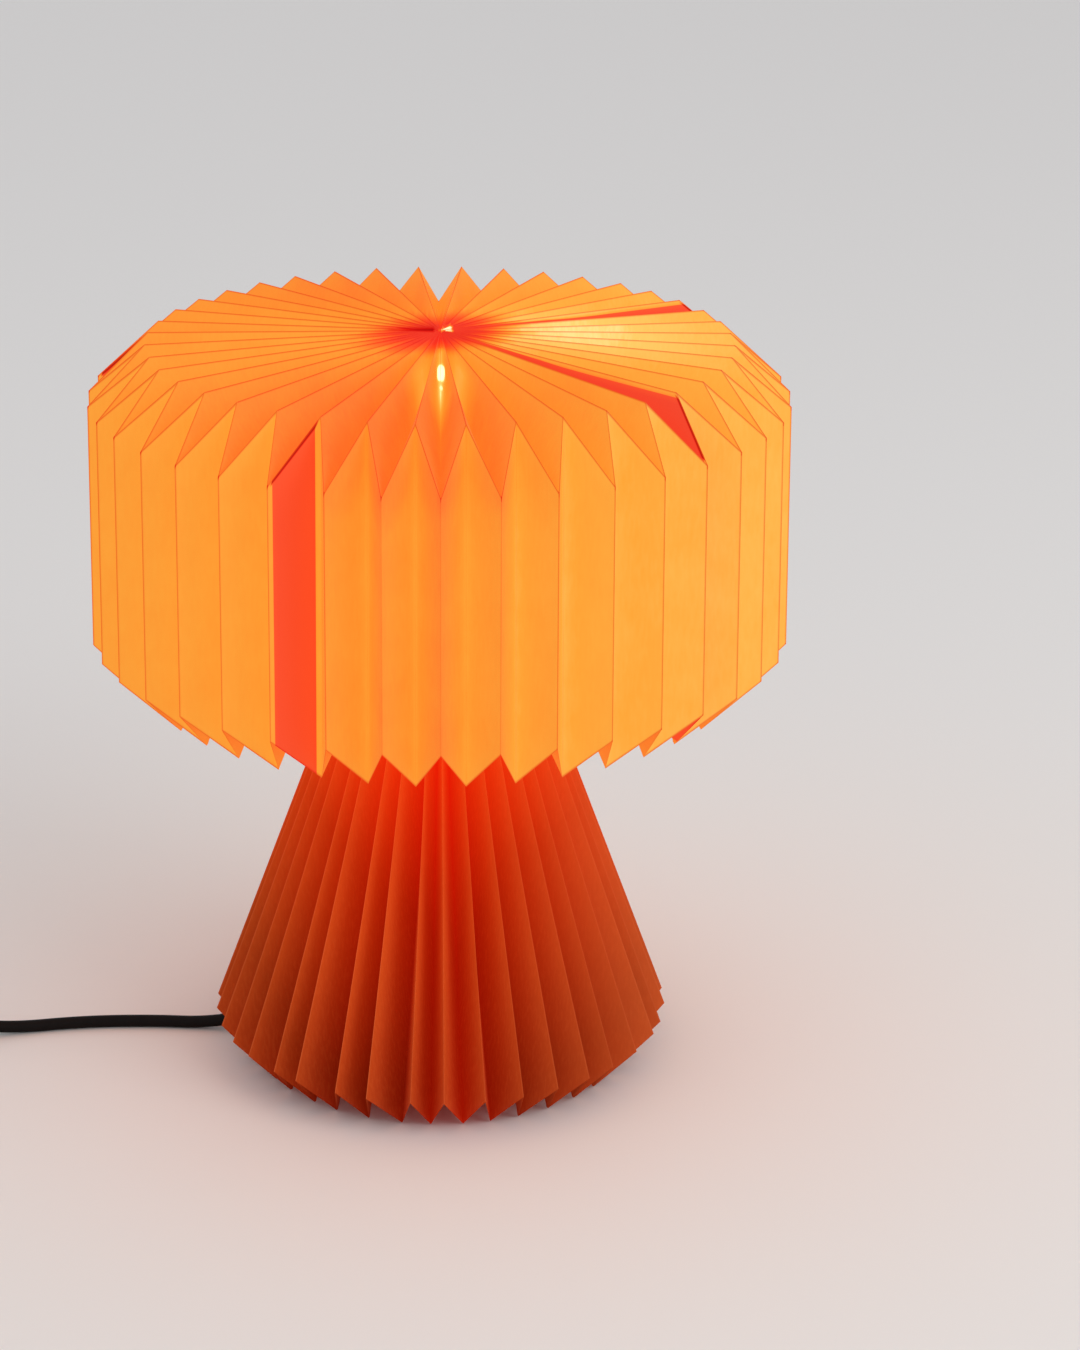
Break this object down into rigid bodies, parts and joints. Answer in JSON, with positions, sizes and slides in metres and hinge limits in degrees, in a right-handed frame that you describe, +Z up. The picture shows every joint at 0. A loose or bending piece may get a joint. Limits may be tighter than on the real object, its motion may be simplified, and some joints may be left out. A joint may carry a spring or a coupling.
{
  "type": "pleated paper table lamp",
  "caption": "Table lamp of folded orange paper: round pleated shade with a flat pleated crown on a wire carrier, over a pleated cone foot with a weighted base, cord switch and plug.",
  "frame": {"origin": "on the table under the middle of the stem", "axes": "+Z up along the stem, -Y towards the front, -X towards the side where the cord leaves the foot"},
  "size_m": [0.5671, 0.303, 0.3345],
  "materials": {
    "paper_shade": "matte folded paper",
    "paper_foot": "matte folded paper",
    "card": "matte",
    "pad": "matte",
    "pan": "satin black",
    "steel": "plain",
    "nickel": "nickel plated",
    "brass": "plain",
    "black_plastic": "satin",
    "holder_plastic": "satin white",
    "porcelain": "glazed",
    "bulb_glass": "frosted, lit",
    "inner_glass": "clear",
    "filament": "lit",
    "cord": "satin black",
    "tie": "satin",
    "rubber": "matte"
  },
  "bodies": {
    "stand": {"foot_sheet_1": "paper_foot", "foot_sheet_2": "paper_foot", "bottom_pad": "pad", "base_pan": "pan", "weight_disc": "steel", "cord_grommet": "rubber", "stem_tube": "steel", "stem_nuts": "nickel", "stem_washers": "nickel", "cone_collar": "black_plastic", "holder_cap": "holder_plastic", "holder_shell": "holder_plastic", "holder_insert": "porcelain", "holder_thread": "brass", "holder_contact": "brass", "shade_carrier": "pan", "inner_cord": "cord", "cord_lead": "cord", "cord_link": "cord", "cord_tail": "cord", "cord_coil": "cord", "cord_tie": "tie", "switch_lower_shell": "black_plastic", "switch_upper_shell": "black_plastic", "switch_screws": "nickel", "switch_contacts": "brass", "plug_sleeve": "rubber", "plug_body": "black_plastic", "plug_pins": "nickel"},
    "shade": {"shade_sheet_1": "paper_shade", "shade_sheet_2": "paper_shade", "shade_sheet_3": "paper_shade", "shade_sheet_4": "paper_shade", "shade_sheet_5": "paper_shade", "hub_card_ring": "card"},
    "bulb_rise": {"bulb_tip": "brass"},
    "bulb": {"bulb_insulator": "porcelain", "bulb_cap": "nickel", "bulb_glass": "bulb_glass", "bulb_mount": "inner_glass", "bulb_filaments": "filament"},
    "holder_ring": {"holder_ring": "holder_plastic"},
    "rocker": {"switch_rocker": "black_plastic", "rocker_pin": "steel"}
  },
  "joints": [
    {"name": "shade_lift", "type": "slide", "parent": "stand", "child": "shade", "axis": [0, 0, 1], "range_m": [0, 0.13]},
    {"name": "bulb_lift", "type": "slide", "parent": "stand", "child": "bulb_rise", "axis": [0, 0, 1], "range_m": [0, 0.017]},
    {"name": "bulb_turn", "type": "hinge", "parent": "bulb_rise", "child": "bulb", "pos_m": [0, 0, 0.24], "axis": [0, 0, 1], "range_deg": [0, 2160]},
    {"name": "ring_turn", "type": "hinge", "parent": "stand", "child": "holder_ring", "pos_m": [0, 0, 0.222], "axis": [0, 0, 1], "range_deg": [0, 1080]},
    {"name": "rocker_tilt", "type": "hinge", "parent": "stand", "child": "rocker", "pos_m": [-0.271, -0.001, 0.013], "axis": [0, 1, 0], "range_deg": [-20, 0]}
  ],
  "couplings": [
    {"joint": "bulb_lift", "follows": "bulb_turn", "m_per_rad": 0.00044882}
  ]
}
